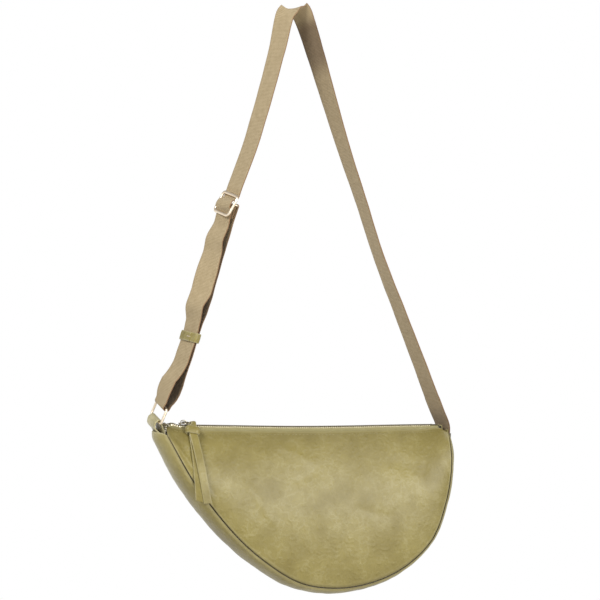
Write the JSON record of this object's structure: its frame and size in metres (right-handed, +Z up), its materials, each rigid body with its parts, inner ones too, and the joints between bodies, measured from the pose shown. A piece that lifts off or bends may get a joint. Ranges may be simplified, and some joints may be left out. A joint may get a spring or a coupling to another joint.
{
  "type": "crescent bag",
  "caption": "Half-moon crossbody bag in soft leather with a top zip, hanging by an adjustable webbing strap with a wire ring, tri-glide slider and leather keeper.",
  "frame": {"origin": "underside of the strap at its apex, where a hook, a hand or a shoulder carries it", "axes": "+X to the right of the bag's front, -Y out of the bag's front, +Z up"},
  "size_m": [0.3718, 0.082, 0.7009],
  "materials": {
    "olive_leather": "smooth olive faux leather, waxed look",
    "khaki_webbing": "flat woven webbing",
    "olive_tape": "woven zip tape",
    "pale_gold": "pale gold plating",
    "zip_nickel": "nickel plating",
    "lining_cloth": "plain lining cloth"
  },
  "bodies": {
    "strap": {"strap_webbing": "khaki_webbing", "strap_loop": "khaki_webbing", "strap_return": "khaki_webbing"},
    "bag": {"front_panel": "olive_leather", "back_panel": "olive_leather", "gusset": "olive_leather", "front_lining": "lining_cloth", "back_lining": "lining_cloth", "gusset_lining": "lining_cloth", "inner_pocket": "lining_cloth", "zip_tape_front": "olive_tape", "zip_tape_back": "olive_tape", "zip_teeth_front": "zip_nickel", "zip_teeth_back": "zip_nickel", "zip_stop_front": "zip_nickel", "zip_stop_back": "zip_nickel", "zip_bottom_stop": "zip_nickel", "zip_end_left": "olive_leather", "zip_end_right": "olive_leather", "ring_tab": "olive_leather", "strap_end": "khaki_webbing", "strap_patch": "olive_leather"},
    "ring": {"strap_ring": "pale_gold"},
    "zip_slider": {"zip_slider": "zip_nickel"},
    "puller": {"zip_puller": "zip_nickel"},
    "pull": {"pull_strip": "olive_leather", "pull_band": "olive_leather"},
    "strap_slider": {"strap_slider": "pale_gold", "slider_bar": "pale_gold"},
    "keeper": {"strap_keeper": "olive_leather", "keeper_staple": "pale_gold"}
  },
  "joints": [
    {"name": "bag_swing", "type": "hinge", "parent": "strap", "child": "bag", "pos_m": [-0.161, 0, -0.471], "axis": [0.9999, 0, 0.014], "range_deg": [-25, 25], "deforming": ["strap_loop", "strap_end"]},
    {"name": "ring_pivot", "type": "hinge", "parent": "bag", "child": "ring", "pos_m": [-0.1685, 0, -0.488], "axis": [0.1331, -0.947, -0.2924], "range_deg": [-8, 8]},
    {"name": "zip_slide", "type": "slide", "parent": "bag", "child": "zip_slider", "axis": [0.9999, 0, -0.0158], "range_m": [0, 0.3], "deforming": ["zip_teeth_front", "zip_teeth_back"]},
    {"name": "puller_swing", "type": "hinge", "parent": "zip_slider", "child": "puller", "pos_m": [-0.1357, 0, -0.49187], "axis": [-0.766, -0.6428, 0], "range_deg": [0, 110]},
    {"name": "pull_swing", "type": "hinge", "parent": "puller", "child": "pull", "pos_m": [-0.12747, -0.00981, -0.49413], "axis": [-0.766, -0.6428, 0], "range_deg": [0, 80]},
    {"name": "strap_adjust", "type": "slide", "parent": "strap", "child": "strap_slider", "axis": [0.3173, 0, 0.9483], "range_m": [-0.07, 0], "deforming": ["strap_return"]},
    {"name": "keeper_slide", "type": "slide", "parent": "strap", "child": "keeper", "axis": [0.3007, 0, 0.9537], "range_m": [-0.02, 0.024]}
  ]
}
